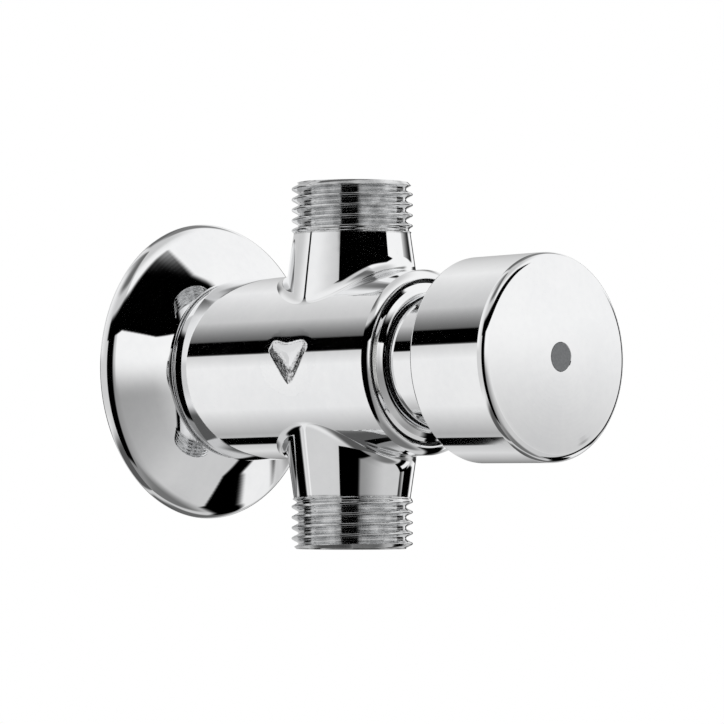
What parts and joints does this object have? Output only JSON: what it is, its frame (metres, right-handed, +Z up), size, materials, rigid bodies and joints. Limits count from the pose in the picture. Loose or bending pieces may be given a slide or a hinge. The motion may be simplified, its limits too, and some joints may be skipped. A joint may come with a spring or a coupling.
{
  "type": "urinal flush valve",
  "caption": "Exposed in-line push-button urinal flush valve with a domed wall rosette, threaded pipe ends above and below, and a self-closing cartridge.",
  "frame": {"origin": "centre of the tapped stud hole's mouth in the wall plane, on the barrel's axis", "axes": "-Y out of the wall towards the user, +Z up to the supply pipe, +X to the right of someone who faces the wall"},
  "size_m": [0.0518, 0.0851, 0.0632],
  "materials": {
    "chrome_plate": "polished chrome plate on brass",
    "bare_brass": "turned",
    "stainless_steel": "satin",
    "black_rubber": "moulded",
    "white_plastic": "moulded",
    "grey_plastic": "moulded, flat"
  },
  "bodies": {
    "valve": {"body": "chrome_plate", "wall_plate": "chrome_plate", "plate_grip_ring": "black_rubber", "guide_sleeve": "chrome_plate", "mouth_seal": "black_rubber", "cartridge_cage": "white_plastic", "timing_cup": "white_plastic", "divider_ring": "black_rubber", "front_ring": "black_rubber", "inlet_filter": "stainless_steel", "seat_insert": "bare_brass", "stem_guide": "bare_brass", "stem_seal": "black_rubber", "guide_clip": "stainless_steel", "return_spring": "stainless_steel"},
    "plunger": {"button_shell": "chrome_plate", "button_liner": "white_plastic", "button_disc": "grey_plastic", "button_screw": "stainless_steel", "stem": "stainless_steel", "valve_washer": "black_rubber", "washer_cup": "bare_brass", "stem_spacer": "bare_brass", "piston": "white_plastic", "piston_seal": "black_rubber", "stem_nut": "bare_brass"}
  },
  "joints": [
    {"name": "button_press", "type": "slide", "parent": "valve", "child": "plunger", "axis": [0, 1, 0], "range_m": [0, 0.0075], "stiffness_N_per_m": 900, "springref_m": -0.012, "deforming": ["return_spring"]}
  ]
}
